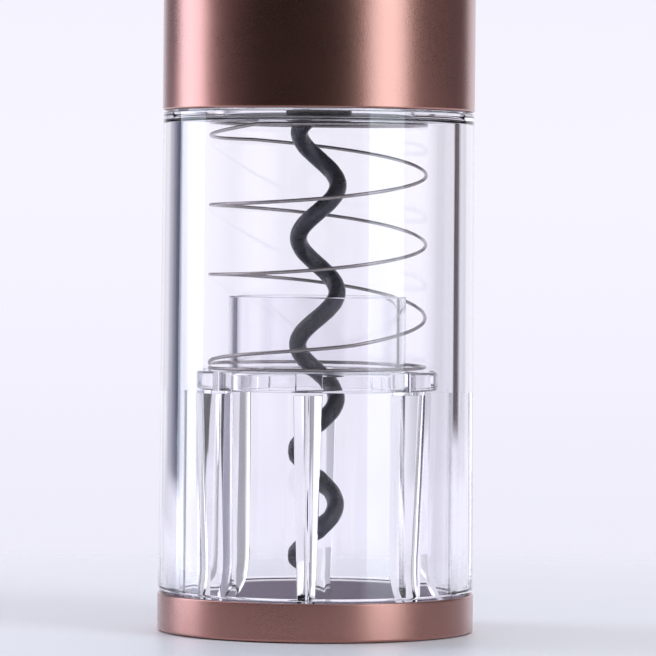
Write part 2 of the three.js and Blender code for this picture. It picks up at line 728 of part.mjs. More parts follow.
function rocker() {
  const face = roundedRectangle(ROCKER_WIDTH, ROCKER_LENGTH, ROCKER_CORNER);
  const slab = new THREE.ExtrudeGeometry(face, { depth: ROCKER_THICKNESS, bevelEnabled: false, curveSegments: 3 });
  const hollow = new THREE.CylinderGeometry(ROCKER_HOLLOW_RADIUS, ROCKER_HOLLOW_RADIUS, 20, 360)
    .rotateZ(Math.PI / 2)
    .translate(0, ROCKER_HOLLOW_FACE - ROCKER_HOLLOW_RADIUS, ROCKER_HEIGHT);
  return cut(standing(slab, ROCKER_BACK), hollow, pivotRod(PIVOT_BORE, ROCKER_WIDTH));
}

// ---- Cells and their holder ----
const cellPlaces = [
  [-1, -1],
  [1, -1],
  [1, 1],
  [-1, 1],
].map(([x, y]) => [x * CELL_SPACING, y * CELL_SPACING]);

function cell([x, y], nubUp) {
  const nubRadius = 2.7;
  const nubHeight = 1.4;
  const upright = turned(
    [
      [0, 0],
      [CELL_RADIUS, 0],
      [CELL_RADIUS, CELL_LENGTH - nubHeight - 0.2],
      [nubRadius, CELL_LENGTH - nubHeight],
      [nubRadius, CELL_LENGTH],
      [0, CELL_LENGTH],
    ],
    16,
  );
  if (!nubUp) upright.rotateX(Math.PI).translate(0, 0, CELL_LENGTH);
  return upright.translate(x, y, CELL_BOTTOM);
}

function cellHolder() {
  const outline = polygon(HOLDER_RADIUS, SHELL_SEGMENTS);
  cellPlaces.forEach(([x, y]) => {
    const bore = polygon(CELL_RADIUS + 0.4, 16).getPoints().map((p) => p.add(new THREE.Vector2(x, y)));
    outline.holes.push(new THREE.Path(bore));
  });
  const whole = prism(outline, CELL_BOTTOM, CELL_BOTTOM + HOLDER_LENGTH);
  return common(whole, block([-FAR, HOLDER_FLAT, 0], [FAR, FAR, FAR]));
}

const CONTACT_HALF_LENGTH = 12;

function contactStrip(side) {
  const half = 4;
  return block(
    [side * CELL_SPACING - half, -CONTACT_HALF_LENGTH, FRAME_TOP + GAP],
    [side * CELL_SPACING + half, CONTACT_HALF_LENGTH, CELL_BOTTOM - GAP],
  );
}

// ---- Body tube and battery cap ----
function bodySleeve() {
  const tube = ringOf(BODY_RADIUS, BODY_INNER, BODY_BOTTOM, BODY_TOP);
  const half = BEZEL_WIDTH / 2 + GAP;
  const halfLength = BEZEL_LENGTH / 2 + GAP;
  const window = block([-half, -FAR, ROCKER_HEIGHT - halfLength], [half, -15, ROCKER_HEIGHT + halfLength]);
  return cut(tube, window);
}

function arc(centreRadius, centreHeight, radius, steps) {
  return Array.from({ length: steps + 1 }, (_, i) => {
    const angle = (Math.PI / 2) * (i / steps);
    return [centreRadius + radius * Math.cos(angle), centreHeight + radius * Math.sin(angle)];
  });
}

const CAP_WALL = 1.8;

function batteryCap() {
  const rounding = 6;
  const outside = arc(BODY_RADIUS - rounding, OBJECT_TOP - rounding, rounding, 4);
  const inside = arc(BODY_RADIUS - rounding, OBJECT_TOP - rounding, rounding - CAP_WALL, 4).reverse();
  return turned([
    [BODY_RADIUS, BODY_TOP + GAP],
    ...outside,
    [0, OBJECT_TOP],
    [0, OBJECT_TOP - CAP_WALL],
    ...inside,
    [BODY_RADIUS - CAP_WALL, BODY_TOP + GAP],
  ]);
}

// A plug under the cap, with a skirt that fits inside the body and carries the seal.
const SKIRT_RADIUS = 22.7;
const SKIRT_BOTTOM = 208;
const PLUG_BOTTOM = 212.2;

function capInsert() {
  const skirtWall = 1.5;
  const plugRadius = BODY_RADIUS - CAP_WALL - 0.45;
  return turned([
    [0, PLUG_BOTTOM],
    [SKIRT_RADIUS - skirtWall, PLUG_BOTTOM],
    [SKIRT_RADIUS - skirtWall, SKIRT_BOTTOM],
    [SKIRT_RADIUS, SKIRT_BOTTOM],
    [SKIRT_RADIUS, BODY_TOP - 0.2],
    [plugRadius, BODY_TOP + GAP],
    [plugRadius, BODY_TOP + 3],
    [0, BODY_TOP + 3],
  ]);
}

const capSeal = () => ringOf(BODY_INNER - 0.1, SKIRT_RADIUS + RUNNING_GAP, SKIRT_BOTTOM + 1.5, SKIRT_BOTTOM + 2.7);

// A leaf of spring strip, bowed down to reach the two cells on its side.
function capContact(side) {
  const low = CELL_BOTTOM + CELL_LENGTH + GAP;
  const high = PLUG_BOTTOM - GAP;
  const sheet = 0.4;
  const flat = 2;
  const width = 6;
  const dip = CELL_SPACING;
  const upper = [
    [-CONTACT_HALF_LENGTH, high],
    [-dip - flat, low + sheet],
    [-dip + flat, low + sheet],
    [-flat, high],
    [flat, high],
    [dip - flat, low + sheet],
    [dip + flat, low + sheet],
    [CONTACT_HALF_LENGTH, high],
  ];
  const lower = upper.map(([y, z]) => [y, z - sheet]).reverse();
  const shape = new THREE.Shape([...upper, ...lower].map(([y, z]) => new THREE.Vector2(y, z)));
  return new THREE.ExtrudeGeometry(shape, { depth: width, bevelEnabled: false })
    .translate(0, 0, -width / 2)
    .rotateX(Math.PI / 2)
    .rotateZ(Math.PI / 2)
    .translate(side * CELL_SPACING, 0, 0);
}

// ---- Assembly ----
addPiece("base_ring", baseRing(), bronze());
addPiece("clear_barrel", clearBarrel(), clear());
addPiece("cork_sleeve", corkSleeve(), clear());
addPiece("return_spring", returnSpring(), steel());
addPiece("worm", worm(), blackCoat());
addPiece("worm_chuck", wormChuck(), darkPlastic());
addPiece("output_spindle", outputSpindle(), steel());
addPiece("spindle_bush", spindleBush(), brass());
addPiece("bulkhead", bulkhead(), darkPlastic());
around(3, (angle, i) => addPiece(`gearbox_screw_${i + 1}`, gearboxScrew(angle), steel()));

addPiece("gearbox_base", gearboxBase(), darkPlastic());
addPiece("ring_gear", ringGear(), palePlastic());
addPiece("output_carrier", outputCarrier(), steel());
addPiece("input_carrier", inputCarrier(), steel());
addPiece("gearbox_cover", gearboxCover(), darkPlastic());
for (const [stage, height] of [["output", OUTPUT_STAGE], ["input", INPUT_STAGE]]) {
  around(PLANET_COUNT, (angle, i) => {
    const letter = "abc"[i];
    const wheel = gearWheel(PLANET_TEETH, height + WHEEL_BOTTOM, height + WHEEL_TOP, PIN_RADIUS + 0.2);
    const planet = addPiece(`${stage}_planet_${letter}`, wheel, palePlastic());
    planet.position.set(PLANET_ORBIT * Math.cos(angle), PLANET_ORBIT * Math.sin(angle), 0);
    addPiece(`${stage}_pin_${letter}`, planetPin(height, angle), steel());
  });
}

addPiece("motor_pinion", motorPinion(), brass());
addPiece("motor_rotor", motorRotor(), steel());
addPiece("motor_can", motorCan(), steel());
addPiece("motor_magnet_left", motorMagnet(Math.PI), darkPlastic());
addPiece("motor_magnet_right", motorMagnet(0), darkPlastic());
addPiece("motor_end_cap", motorEndCap(), darkPlastic());
addPiece("motor_screw_left", motorScrew(-1), steel());
addPiece("motor_screw_right", motorScrew(1), steel());
addPiece("motor_wire_black", motorWire(-1), darkPlastic());
addPiece("motor_wire_red", motorWire(1), finish(0xa82020, 0.5, 0));

addPiece("frame_left", frameHalf(-1), darkPlastic());
addPiece("frame_right", frameHalf(1), darkPlastic());
addPiece("circuit_board", circuitBoard(), finish(0x1f5a38, 0.5, 0));
addPiece("switch_down", tactSwitch(ROCKER_HEIGHT - SWITCH_OFFSET), steel());
addPiece("switch_up", tactSwitch(ROCKER_HEIGHT + SWITCH_OFFSET), steel());
addPiece("rocker_bezel", rockerBezel(), darkPlastic());
addPiece("rocker", rocker(), darkPlastic());
addPiece("rocker_pin", pivotRod(PIVOT_RADIUS, PIN_HALF_LENGTH), steel());

addPiece("cell_holder", cellHolder(), darkPlastic());
cellPlaces.forEach((place, i) => addPiece(`cell_${i + 1}`, cell(place, i % 2 === 0), finish(0x3c4a66, 0.4, 0.3)));
addPiece("contact_strip_left", contactStrip(-1), steel());
addPiece("contact_strip_right", contactStrip(1), steel());

addPiece("body_sleeve", bodySleeve(), bronze());
addPiece("battery_cap", batteryCap(), bronze());
addPiece("cap_insert", capInsert(), darkPlastic());
addPiece("cap_seal", capSeal(), finish(0x18181a, 0.8, 0));
addPiece("cap_contact_left", capContact(-1), steel());
addPiece("cap_contact_right", capContact(1), steel());

export default opener;
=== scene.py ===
"""Looks of an upright electric wine opener: clear barrel, black worm, sprung cork sleeve, satin bronze body.

Outlines are written in millimetres, in the frame's own axes, and each finished mesh is scaled to metres.
The origin is the centre of the base ring's lower face, +Z is up and the rocker switch faces -Y.
"""
import json
import math

import bmesh
import bpy
from mathutils import Matrix, Vector


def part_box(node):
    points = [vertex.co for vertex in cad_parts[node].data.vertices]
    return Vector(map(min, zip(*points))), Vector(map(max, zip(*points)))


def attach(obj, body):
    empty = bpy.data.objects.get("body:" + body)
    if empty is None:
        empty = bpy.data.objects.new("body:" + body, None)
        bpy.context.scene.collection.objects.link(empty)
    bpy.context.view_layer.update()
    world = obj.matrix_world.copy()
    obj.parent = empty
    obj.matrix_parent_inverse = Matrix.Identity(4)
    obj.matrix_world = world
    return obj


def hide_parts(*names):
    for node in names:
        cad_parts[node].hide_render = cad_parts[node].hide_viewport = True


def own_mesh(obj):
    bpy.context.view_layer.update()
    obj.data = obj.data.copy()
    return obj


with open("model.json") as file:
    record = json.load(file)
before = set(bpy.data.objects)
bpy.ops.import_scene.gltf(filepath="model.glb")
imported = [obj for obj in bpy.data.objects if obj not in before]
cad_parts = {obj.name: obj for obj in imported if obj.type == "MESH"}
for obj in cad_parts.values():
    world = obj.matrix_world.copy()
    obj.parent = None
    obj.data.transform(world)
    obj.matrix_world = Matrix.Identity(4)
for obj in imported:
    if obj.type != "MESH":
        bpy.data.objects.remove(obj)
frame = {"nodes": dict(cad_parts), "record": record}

MM = 0.001
TAU = 2 * math.pi
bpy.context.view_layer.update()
NODES = frame["nodes"]
BODY_OF = {node: body for body, nodes in frame["record"]["behaviour"]["bodies"].items() for node in nodes}
SLOT_OF = {row["node"]: row["material_slot"] for row in frame["record"]["subparts"]}


def low(node):
    """Lowest corner of a CAD node, in millimetres."""
    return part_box(node)[0] / MM


def high(node):
    """Highest corner of a CAD node, in millimetres."""
    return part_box(node)[1] / MM


# ---------------------------------------------------------------- driving sizes, in millimetres
GAP = 0.3  # between pieces that touch

BASE_RADIUS = high("base_ring").x
BASE_TOP = high("base_ring").z
BASE_BORE = 21.8
BASE_WALL = 0.9
BASE_FLOOR = 1.0

BODY_RADIUS = high("body_sleeve").x
BODY_BOTTOM = low("body_sleeve").z
BODY_TOP = high("body_sleeve").z
BODY_BORE = 23.45

BARREL_BORE = 21.6
BARREL_FOOT = low("clear_barrel").z
BARREL_TOP = high("clear_barrel").z
BARREL_LOW_RADIUS = high("clear_barrel").x
BARREL_HIGH_RADIUS = 24.55
SHELF_BOTTOM = 80.6  # the barrel's inner shelf, which the spring pushes against
SHELF_TOP = 82.1
SHELF_RADIUS = 15.4
SHELL_STEPS = 320  # faces round each of the large round pieces
SHELL_STEP = TAU / SHELL_STEPS

RIB_COUNT = 8
RIB_TURN = math.radians(-3.5)
RIB_STEPS = 10  # of the shell's steps, across one rib
RIB_HALF_ANGLE = RIB_STEPS / 2 * SHELL_STEP
RIB_NOSE = 16.8
RIB_NOSE_HALF = 0.2  # half the width of the flat on a rib's nose
RIB_BEVEL = math.tan(math.radians(50))  # slope of the faces on each side of that flat
RIB_ROOT = 1.0  # how far behind the bore the foot's curve starts
RIB_TOP = 37.8
RIB_TOP_WIDTH = 4.1
RIB_FOOT_WIDTH = 2.4
RIB_FOOT = 3.3
RIB_LEAD_LINE = 2.0  # the lead-in at the foot climbs by RIB_LEAD_LINE * a + RIB_LEAD_CURVE * a ** 2,
RIB_LEAD_CURVE = 7.0  # where a goes from 0 at the bore to 1 at the nose
RIB_LEVELS = [RIB_FOOT + 0.35, 4.1, 4.8, 5.8, 7.0, 8.5, 10.2, 12.3, 20, 30, RIB_TOP - 0.5, RIB_TOP]

SLEEVE_BORE = 12.7
SLEEVE_RADIUS = 14.0
SLEEVE_TOP = high("cork_sleeve").z
FLANGE_RADIUS = high("cork_sleeve").x
FLANGE_BOTTOM = low("cork_sleeve").z
FLANGE_TOP = FLANGE_BOTTOM + 3
FLANGE_NOTCH = FLANGE_RADIUS - 1.2
NOTCH_HALF_ANGLE = (RIB_TOP_WIDTH / 2) / FLANGE_RADIUS

SPRING_WIRE = 0.56
SPRING_RADIUS = 17.05
SPRING_BOTTOM = FLANGE_TOP + 0.05 + SPRING_WIRE / 2
SPRING_TOP = SHELF_BOTTOM - 0.05 - SPRING_WIRE / 2
SPRING_END_TURNS = 1.0
SPRING_END_RISE = SPRING_WIRE * 1.1
SPRING_ACTIVE_TURNS = 3.16
SPRING_TURNS = SPRING_ACTIVE_TURNS + 2 * SPRING_END_TURNS
SPRING_KICK = 3.0  # extra height that the wire gains as it leaves the flange
SPRING_KICK_TURNS = 0.8
SPRING_PITCH = (SPRING_TOP - SPRING_BOTTOM - 2 * SPRING_END_RISE - SPRING_KICK) / SPRING_ACTIVE_TURNS
SPRING_LEAN_BACK = 1.6  # how far each active turn stands up at the back
SPRING_LEAN_LEFT = 0.15
SPRING_LEAN_TURNS = 0.3  # over which the lean grows and fades
SPRING_POINTS = 72  # per turn

WORM_RADIUS = 3.1
WORM_WIRE = 2.75
WORM_PITCH = 16.8
WORM_START = 11.5  # the helix crosses -X here
WORM_EASE = 78.5  # the wire starts to turn in to the axis here
WORM_CENTRED = 84.8
WORM_TOP = 87.7
WORM_TIP = 8.0
WORM_TIP_LENGTH = 6.5
WORM_TIP_WIRE = 0.06
WORM_TIP_FULLNESS = 0.8  # below 1 the point is fuller than a plain taper
WORM_TIP_REACH = 0.35  # share of the lost wire by which the point moves out
WORM_POINTS = 420

CHUCK_RADIUS = 5.2
CHUCK_MOUTH = 4.3
CHUCK_NECK = 4.2
CHUCK_SHOULDER = 89.0
SPINDLE_BORE = 2.65
SPINDLE_FLOOR = 88.1
SHANK_BORE = 1.6

BULKHEAD_HOLE = CHUCK_RADIUS + 0.4
BULKHEAD_LIP = BULKHEAD_HOLE + 2.2
BULKHEAD_RIM = 2.2  # thickness of the plate outside the barrel's shelf

CAP_WALL = 1.8
CAP_CORNER = 6.0
CAP_INNER_CORNER = 4.0

BEZEL_WIDTH = high("rocker_bezel").x - low("rocker_bezel").x
BEZEL_LENGTH = high("rocker_bezel").z - low("rocker_bezel").z
BEZEL_FRONT = low("rocker_bezel").y
BEZEL_BACK = high("rocker_bezel").y
BEZEL_CORNER = 3.0
BEZEL_SINK = 1.0  # how far the plate goes forward before it is bent round the body
WINDOW_PLAY = 0.4  # by which the body's window is larger than the bezel
WINDOW_BACK = -16.0
WINDOW_DEPTH = 12.0

ROCKER_WIDTH = high("rocker").x - low("rocker").x
ROCKER_LENGTH = high("rocker").z - low("rocker").z
ROCKER_THICKNESS = high("rocker").y - low("rocker").y
ROCKER_BACK = high("rocker").y
ROCKER_HEIGHT = (low("rocker").z + high("rocker").z) / 2
ROCKER_CORNER = 2.0
ROCKER_SIDE_PLAY = 0.7  # by which the bezel's opening is wider than the rocker
ROCKER_END_PLAY = 0.9  # by which it is longer
ROCKER_DISH = 0.35  # depth of the hollow along the rocker's face
ROCKER_FACE = 0.7  # points this close to the rocker's front move with its hollow
ROCKER_CUTS = 11


# ---------------------------------------------------------------- mesh tools
def turned(outline, steps=SHELL_STEPS, closed=True):
    """Spins an outline in the XZ plane about Z, with its corners rounded.

    A point is (radius, height) or (radius, height, rounding). An open outline ends on the axis.
    """
    bm = bmesh.new()
    corners = [bm.verts.new((point[0], 0, point[1])) for point in outline]
    for pair in zip(corners, corners[1:]):
        bm.edges.new(pair)
    if closed:
        bm.edges.new((corners[-1], corners[0]))
    for corner, point in zip(corners, outline):
        if len(point) > 2:
            bmesh.ops.bevel(
                bm, geom=[corner], offset=point[2], offset_type="OFFSET",
                segments=4, profile=0.5, affect="VERTICES", material=-1,
            )
    bmesh.ops.spin(
        bm, geom=bm.verts[:] + bm.edges[:], cent=(0, 0, 0), axis=(0, 0, 1),
        angle=TAU, steps=steps, use_merge=True,
    )
    bmesh.ops.remove_doubles(bm, verts=bm.verts, dist=1e-4)
    bmesh.ops.recalc_face_normals(bm, faces=bm.faces)
    return bm


def linked(name, data):
    """A new object in the scene that shows this data."""
    made = bpy.data.objects.new(name, data)
    bpy.context.scene.collection.objects.link(made)
    return made


def as_mesh(name, bm):
    """A mesh made from a bmesh, which is used up."""
    mesh = bpy.data.meshes.new(name)
    bm.to_mesh(mesh)
    bm.free()
    return mesh


def stand_in(node, mesh, sharp):
    """Shows a mesh in metres in place of a CAD node, with its finish, and riding on its body."""
    mesh.name = node + "_fine"
    mesh.materials.clear()
    mesh.materials.append(FINISH_OF_SLOT[SLOT_OF[node]])
    mesh.shade_smooth()
    mesh.set_sharp_from_angle(angle=math.radians(sharp))
    made = linked(node + "_fine", mesh)
    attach(made, BODY_OF[node])
    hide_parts(node)
    return made


def piece(node, bm, sharp=35):
    """Shows a bmesh in millimetres in place of a CAD node, with evened normals. The bmesh is used up."""
    bmesh.ops.scale(bm, vec=(MM, MM, MM), verts=bm.verts)
    made = stand_in(node, as_mesh(node, bm), sharp)
    normals = made.modifiers.new("even_normals", "WEIGHTED_NORMAL")
    normals.keep_sharp = True
    return made


def cut(first, second):
    """The first millimetre bmesh with the second cut out of it as a solid; both are used up."""
    body = linked("body", as_mesh("body", first))
    tool = linked("tool", as_mesh("tool", second))
    boolean = body.modifiers.new("cut", "BOOLEAN")
    boolean.operation = "DIFFERENCE"
    boolean.solver = "EXACT"
    boolean.object = tool
    bpy.context.view_layer.update()
    shaped = body.evaluated_get(bpy.context.evaluated_depsgraph_get())
    result = bmesh.new()
    result.from_mesh(shaped.to_mesh())
    shaped.to_mesh_clear()
    for holder in (body, tool):
        bpy.data.objects.remove(holder)
    return result


def wire_mesh(points, radii, sides):
    """A round wire through millimetre points, as a mesh in metres."""
    curve = bpy.data.curves.new("wire", "CURVE")
    curve.dimensions = "3D"
    curve.bevel_depth = MM
    curve.bevel_resolution = sides // 2 - 1
    curve.use_fill_caps = True
    spline = curve.splines.new("POLY")
    spline.points.add(len(points) - 1)
    for target, point, radius in zip(spline.points, points, radii):
        target.co = (*(Vector(point) * MM), 1)
        target.radius = radius
    holder = linked("wire", curve)
    bpy.context.view_layer.update()
    evaluated = holder.evaluated_get(bpy.context.evaluated_depsgraph_get())
    mesh = bpy.data.meshes.new_from_object(evaluated)
    bpy.data.objects.remove(holder)
    return mesh


def block(low_corner, high_corner):
    """A box between two opposite corners."""
    bm = bmesh.new()
    bmesh.ops.create_cube(bm, size=1)
    size = Vector(high_corner) - Vector(low_corner)
    bmesh.ops.scale(bm, vec=size, verts=bm.verts)
    bmesh.ops.translate(bm, vec=(Vector(high_corner) + Vector(low_corner)) / 2, verts=bm.verts)
    return bm


def rounded_plate(width, length, thickness, corner, edge=0):
    """A plate in X and Z, standing on its back face at y=0 with its rounded front at y=-thickness."""
    bm = block((-width / 2, -thickness, -length / 2), (width / 2, 0, length / 2))
    uprights = [e for e in bm.edges if abs(e.verts[0].co.y - e.verts[1].co.y) > thickness / 2]
    bmesh.ops.bevel(bm, geom=uprights, offset=corner, segments=6, profile=0.5, affect="EDGES", material=-1)
    if edge:
        rim = [e for e in bm.edges if all(v.co.y < -thickness + 1e-4 for v in e.verts)]
        bmesh.ops.bevel(bm, geom=rim, offset=edge, segments=4, profile=0.5, affect="EDGES", material=-1)
    return bm


def moved(bm, y=0.0, z=0.0):
    """Moves a bmesh back and up."""
    bmesh.ops.translate(bm, verts=bm.verts, vec=(0, y, z))
    return bm


# ---------------------------------------------------------------- shader tools
class Nodes:
    """A short way to place and link nodes in one tree."""

    def __init__(self, tree):
        self.tree = tree
        self.tree.nodes.clear()

    def add(self, kind, inputs=None, **settings):
        """A new node with these settings, its named or numbered inputs fed with values or sockets."""
        node = self.tree.nodes.new(kind)
        for name, value in settings.items():
            setattr(node, name, value)
        for name, value in (inputs or {}).items():
            self.feed(node.inputs[name], value)
        return node

    def feed(self, socket, value):
        """Links a socket, or sets a plain value."""
        if isinstance(value, bpy.types.NodeSocket):
            self.tree.links.new(value, socket)
        else:
            socket.default_value = value

    def math(self, operation, first, second, clamp=False):
        """Two numbers worked into one."""
        inputs = {0: first, 1: second}
        return self.add("ShaderNodeMath", inputs, operation=operation, use_clamp=clamp).outputs[0]

    def multiplied(self, first, second):
        """Two vectors multiplied, axis by axis."""
        return self.add("ShaderNodeVectorMath", {0: first, 1: second}, operation="MULTIPLY").outputs[0]

    def spread(self, value, start, end, first, last, **settings):
        """A number between start and end carried over to one between first and last."""
        return self.add("ShaderNodeMapRange", {
            "Value": value, "From Min": start, "From Max": end, "To Min": first, "To Max": last,
        }, **settings).outputs["Result"]

    def mix(self, factor, first, second, blend="MIX"):
        """Two colours mixed. A Mix node's two colours are its inputs 6 and 7, and its colour is output 2."""
        return self.add("ShaderNodeMix", {
            "Factor": factor, 6: first, 7: second,
        }, data_type="RGBA", blend_type=blend).outputs[2]

    def ramp(self, factor, *stops):
        """A colour ramp through (place, colour) stops, where a bare number is a grey."""
        node = self.add("ShaderNodeValToRGB", {"Fac": factor})
        elements = node.color_ramp.elements
        while len(elements) < len(stops):
            elements.new(1)
        for element, (place, colour) in zip(elements, stops):
            element.position = place
            element.color = (*colour, 1) if isinstance(colour, tuple) else (colour, colour, colour, 1)
        return node.outputs["Color"]

    def noise(self, place, scale, detail, roughness=0.5):
        """Noise between 0 and 1 over a place."""
        return self.add("ShaderNodeTexNoise", {
            "Vector": place, "Scale": scale, "Detail": detail, "Roughness": roughness,
        }).outputs["Fac"]


GRAIN_INPUTS = {
    "Base Color": "NodeSocketColor", "Color Drift": "NodeSocketFloat",
    "Roughness": "NodeSocketFloat", "Roughness Drift": "NodeSocketFloat",
    "Grain Scale": "NodeSocketFloat", "Drift Scale": "NodeSocketFloat", "Stretch": "NodeSocketVector",
}
GRAIN_OUTPUTS = {"Color": "NodeSocketColor", "Roughness": "NodeSocketFloat", "Height": "NodeSocketFloat"}


def grain_group():
    """Fine grain with a broader drift: a colour, a roughness and a height that vary over the surface."""
    group = bpy.data.node_groups.new("surface_grain", "ShaderNodeTree")
    for in_out, sockets in (("INPUT", GRAIN_INPUTS), ("OUTPUT", GRAIN_OUTPUTS)):
        for name, kind in sockets.items():
            group.interface.new_socket(name, in_out=in_out, socket_type=kind)
    tree = Nodes(group)
    given = tree.add("NodeGroupInput").outputs
    place = tree.add("ShaderNodeTexCoord").outputs["Object"]
    stretched = tree.multiplied(place, given["Stretch"])
    grain = tree.noise(stretched, given["Grain Scale"], detail=3.0, roughness=0.6)
    drift = tree.noise(place, given["Drift Scale"], detail=4.0, roughness=0.55)
    mixed = tree.math("ADD", tree.math("MULTIPLY", grain, 0.5), tree.math("MULTIPLY", drift, 0.5))
    centred = tree.math("SUBTRACT", mixed, 0.5)
    shade = tree.math("ADD", tree.math("MULTIPLY", centred, given["Color Drift"]), 1.0)
    colour = tree.add("ShaderNodeVectorMath", {0: given["Base Color"], "Scale": shade}, operation="SCALE")
    change = tree.math("MULTIPLY", centred, given["Roughness Drift"])
    rough = tree.math("ADD", given["Roughness"], change, clamp=True)
    tree.add("NodeGroupOutput", {"Color": colour.outputs[0], "Roughness": rough, "Height": grain})
    return group


GRAIN = grain_group()


def new_material(name):
    """An empty material and its nodes."""
    material = bpy.data.materials.new(name)
    material.use_nodes = True
    return material, Nodes(material.node_tree)


def grained(
    name, colour, roughness, metallic=0.0, drift=0.25, rough_drift=0.2,
    grain=2500.0, broad=60.0, bump=0.04, depth=0.02, stretch=(1, 1, 1), **shader,
):
    """A Principled finish whose colour, roughness and bump come from the shared grain.

    drift and rough_drift say how far colour and roughness vary. grain and broad are the two noises' scales.
    bump and depth, in millimetres, set the relief. Further names are the shader's own sockets.
    """
    material, tree = new_material(name)
    place = tree.add("ShaderNodeGroup", node_tree=GRAIN)
    for socket, value in {
        "Base Color": (*colour, 1), "Color Drift": drift,
        "Roughness": roughness, "Roughness Drift": rough_drift,
        "Grain Scale": grain, "Drift Scale": broad, "Stretch": stretch,
    }.items():
        place.inputs[socket].default_value = value
    relief = tree.add("ShaderNodeBump", {
        "Height": place.outputs["Height"], "Strength": bump, "Distance": depth * MM,
    })
    surface = tree.add("ShaderNodeBsdfPrincipled", {
        "Base Color": place.outputs["Color"], "Roughness": place.outputs["Roughness"],
        "Normal": relief.outputs["Normal"], "Metallic": metallic,
    })
    for socket, value in shader.items():
        surface.inputs[socket.replace("_", " ")].default_value = value
    tree.add("ShaderNodeOutputMaterial", {"Surface": surface.outputs["BSDF"]})
    return material


def clear_plastic():
    """Moulded clear plastic: glass with upright flow streaks and a faint tint."""
    material, tree = new_material("clear_plastic")
    place = tree.add("ShaderNodeTexCoord").outputs["Object"]
    upright = (1, 1, 0.02)
    streak = tree.noise(tree.multiplied(place, upright), scale=420.0, detail=3.0, roughness=0.55)
    ripple = tree.noise(place, scale=70.0, detail=2.0)
    height = tree.math("ADD", tree.math("MULTIPLY", streak, 0.6), ripple)
    relief = tree.add("ShaderNodeBump", {"Height": height, "Strength": 0.35, "Distance": 0.02 * MM})
    tint = tree.ramp(streak, (0.3, (0.965, 0.962, 0.985)), (0.7, (0.995, 0.99, 0.995)))
    surface = tree.add("ShaderNodeBsdfPrincipled", {
        "Base Color": tint, "Roughness": 0.02, "IOR": 1.5, "Metallic": 0.0,
        "Transmission Weight": 1.0, "Normal": relief.outputs["Normal"],
    })
    tree.add("ShaderNodeOutputMaterial", {"Surface": surface.outputs["BSDF"]})
    return material


# ---------------------------------------------------------------- finishes
BRONZE = grained(
    "satin_bronze", (0.472, 0.206, 0.168), 0.29, metallic=1.0, drift=0.5, rough_drift=0.2,
    grain=4600.0, broad=50.0, bump=0.7, depth=0.03, Coat_Weight=0.75, Coat_Roughness=0.23, Coat_IOR=1.65,
)
# Bare metal for the ring's inner faces, lightened to a pale mauve far past bare metal: painted light that
# stands in for the table's light seen there.
BARE_METAL_AND_PAINTED_LIGHT = grained(
    "bare_ring_metal_and_painted_light", (0.93, 0.8, 0.93), 0.5, metallic=0.1, drift=0.3, bump=0.2,
)
CLEAR = clear_plastic()
SPRING_STEEL = grained(
    "drawn_spring_steel", (0.38, 0.35, 0.345), 0.2, metallic=1.0, drift=0.5,
    grain=1800.0, broad=300.0, bump=0.1,
)
WORM_COAT = grained(
    "black_worm_coat", (0.017, 0.018, 0.036), 0.34, drift=6.0, rough_drift=0.9,
    grain=1300.0, broad=420.0, bump=0.7, depth=0.2, Coat_Weight=0.25, Coat_Roughness=0.2,
)
STEEL = grained(
    "machined_steel", (0.6, 0.6, 0.61), 0.28, metallic=1.0,
    grain=1500.0, broad=90.0, bump=0.15, stretch=(1, 1, 6),
)
BRASS = grained(
    "turned_brass", (0.72, 0.5, 0.22), 0.3, metallic=1.0, grain=1500.0, bump=0.12, stretch=(1, 1, 6),
)
DARK_PLASTIC = grained(
    "dark_plastic", (0.03, 0.024, 0.023), 0.4, drift=0.5, grain=3000.0, bump=0.35, depth=0.03,
)
GEAR_PLASTIC = grained("gear_plastic", (0.72, 0.7, 0.62), 0.45, drift=0.08, grain=1400.0, bump=0.1)
MAGNET = grained("sintered_magnet", (0.07, 0.07, 0.075), 0.55, drift=0.5, grain=900.0, bump=0.4)
BOARD = grained(
    "board_laminate", (0.02, 0.17, 0.07), 0.35, drift=0.35, grain=700.0, bump=0.15, Coat_Weight=0.4,
)
CELL_WRAP = grained("cell_wrap", (0.06, 0.09, 0.19), 0.25, drift=0.15, grain=300.0, bump=0.03)
RED_WIRE = grained("red_insulation", (0.5, 0.02, 0.02), 0.35, drift=0.15, grain=900.0, bump=0.08)
BLACK_WIRE = grained("black_insulation", (0.015, 0.015, 0.016), 0.4, drift=0.4, grain=900.0, bump=0.08)
RUBBER = grained("seal_rubber", (0.02, 0.02, 0.021), 0.7, drift=0.4, grain=1800.0, bump=0.25)

FINISH_OF_SLOT = {
    "bronze_metal": BRONZE,
    "clear_plastic": CLEAR,
    "spring_steel": SPRING_STEEL,
    "black_coating": WORM_COAT,
    "steel": STEEL,
    "brass": BRASS,
    "dark_plastic": DARK_PLASTIC,
    "gear_plastic": GEAR_PLASTIC,
    "magnet": MAGNET,
    "board_laminate": BOARD,
    "cell_wrap": CELL_WRAP,
    "red_insulation": RED_WIRE,
    "black_insulation": BLACK_WIRE,
    "seal_rubber": RUBBER,
}


def finish_cad_nodes():
    """Gives every CAD node that still shows the finish of its material slot."""
    for node, holder in NODES.items():
        if holder.hide_render:
            continue
        for slot in holder.material_slots:
            slot.material = FINISH_OF_SLOT[SLOT_OF[node]]


# ---------------------------------------------------------------- base ring
def make_base_ring():
    """The bronze ring round the barrel's foot. The faces that look inwards are bare metal, made very pale as
    painted light from the table below.
    """
    inner = BASE_RADIUS - BASE_WALL
    bm = turned([
        (BASE_BORE, 0, 0.15), (BASE_RADIUS, 0, 0.45), (BASE_RADIUS, BASE_TOP, 0.25),
        (inner, BASE_TOP, 0.1), (inner, BASE_FLOOR, 0.2), (BASE_BORE, BASE_FLOOR, 0.15),
    ])
    ring = piece("base_ring", bm)
    # Faces that look inwards take the pale bare metal, which is partly painted light from the table.
    ring.data.materials.append(BARE_METAL_AND_PAINTED_LIGHT)
    for face in ring.data.polygons:
        if face.normal.xy.dot(face.center.xy) < 0:
            face.material_index = 1


